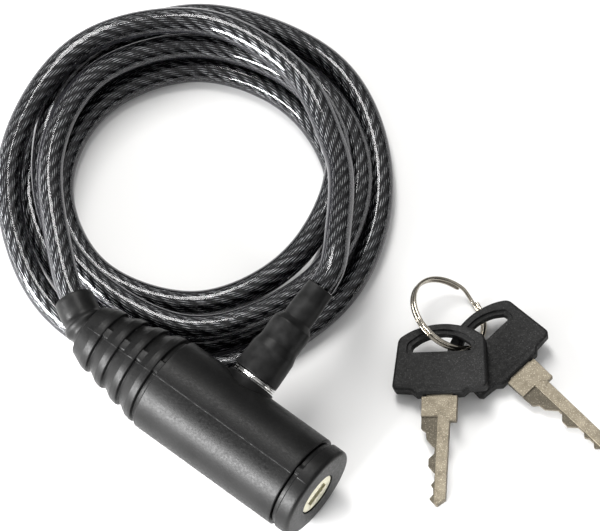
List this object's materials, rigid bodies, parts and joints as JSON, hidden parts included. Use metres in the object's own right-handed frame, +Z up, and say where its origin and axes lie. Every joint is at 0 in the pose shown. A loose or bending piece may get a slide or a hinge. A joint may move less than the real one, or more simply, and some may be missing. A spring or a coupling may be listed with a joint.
{
  "type": "cable lock",
  "caption": "Coiled steel-cable lock: cylinder body with keyed face and side socket, plug-in cable end, and keys on a split ring.",
  "frame": {"origin": "on the surface the object lies on, under the middle of the lock and its keys taken without the cable", "axes": "+X from the lock towards the keys, along the longest side; +Y towards the coil; +Z up"},
  "size_m": [0.1854, 0.1857, 0.0411],
  "materials": {
    "cover_plastic": "fine-grained matt black moulding",
    "boot_plastic": "satin black flexible moulding",
    "key_plastic": "fine-grained black moulding",
    "cable_vinyl": "clear smoked gloss jacket",
    "wire_rope": "bare galvanised strands",
    "zinc": "as die-cast",
    "steel": "turned and stamped steel",
    "chrome": "bright plated",
    "brass": "nickel-washed, pale yellow",
    "key_nickel": "nickel-plated blanks with cut edges"
  },
  "bodies": {
    "lock": {"body_cover": "cover_plastic", "end_cap": "cover_plastic", "strain_relief": "boot_plastic", "barrel": "zinc", "socket_collar": "cover_plastic", "cylinder_shell": "brass", "cylinder_pin": "steel", "latch_spring": "steel", "ejector_spring": "steel", "anchor_ferrule": "steel", "cable_jacket": "cable_vinyl", "cable_rope": "wire_rope"},
    "key_cylinder": {"key_plug": "brass", "tail_cam": "steel", "plug_clip": "steel", "wafer_spring_1": "steel", "wafer_spring_2": "steel", "wafer_spring_3": "steel", "wafer_spring_4": "steel"},
    "wafer_stack": {"wafer_1": "brass", "wafer_2": "brass", "wafer_3": "brass", "wafer_4": "brass"},
    "latch_plate": {"latch": "steel"},
    "cable_plug": {"plug_boot": "boot_plastic", "plug_ring": "chrome", "plug_ferrule": "steel", "plug_bolt": "steel"},
    "ejector_plunger": {"ejector": "zinc"},
    "key_ring": {"split_ring": "steel"},
    "key_a": {"key_a_head": "key_plastic", "key_a_blade": "key_nickel"},
    "key_b": {"key_b_head": "key_plastic", "key_b_blade": "key_nickel"}
  },
  "joints": [
    {"name": "key_turn", "type": "hinge", "parent": "lock", "child": "key_cylinder", "pos_m": [-0.0042, -0.0346, 0.015], "axis": [-0.7876, 0.6131, 0.0611], "range_deg": [0, 90]},
    {"name": "wafer_slide", "type": "slide", "parent": "key_cylinder", "child": "wafer_stack", "axis": [0.5923, 0.726, 0.3496], "range_m": [0, 0.0008], "stiffness_N_per_m": 20, "deforming": ["wafer_spring_1", "wafer_spring_2", "wafer_spring_3", "wafer_spring_4"]},
    {"name": "latch_slide", "type": "slide", "parent": "lock", "child": "latch_plate", "axis": [0.17, 0.3115, -0.9349], "range_m": [0, 0.0019], "deforming": ["latch_spring"]},
    {"name": "plug_pull", "type": "slide", "parent": "lock", "child": "cable_plug", "axis": [0.5923, 0.726, 0.3496], "range_m": [0, 0.02], "deforming": ["cable_jacket", "cable_rope"]},
    {"name": "ejector_slide", "type": "slide", "parent": "lock", "child": "ejector_plunger", "axis": [0.5923, 0.726, 0.3496], "range_m": [0, 0.003], "deforming": ["ejector_spring"]},
    {"name": "ring_lift", "type": "slide", "parent": "lock", "child": "key_ring", "axis": [0, 0, 1], "range_m": [0, 0.05]},
    {"name": "key_a_swing", "type": "hinge", "parent": "key_ring", "child": "key_a", "pos_m": [0.0382, 0.01925, 0.00904], "axis": [-0.2019, -0.0914, 0.9751], "range_deg": [0, 8]},
    {"name": "key_b_swing", "type": "hinge", "parent": "key_ring", "child": "key_b", "pos_m": [0.04411, 0.02286, 0.00489], "axis": [-0.0666, -0.1449, 0.9872], "range_deg": [0, 8]}
  ],
  "couplings": [
    {"joint": "latch_slide", "follows": "key_turn", "m_per_rad": 0.0012096},
    {"joint": "ejector_slide", "follows": "plug_pull", "ratio": 0.15}
  ]
}
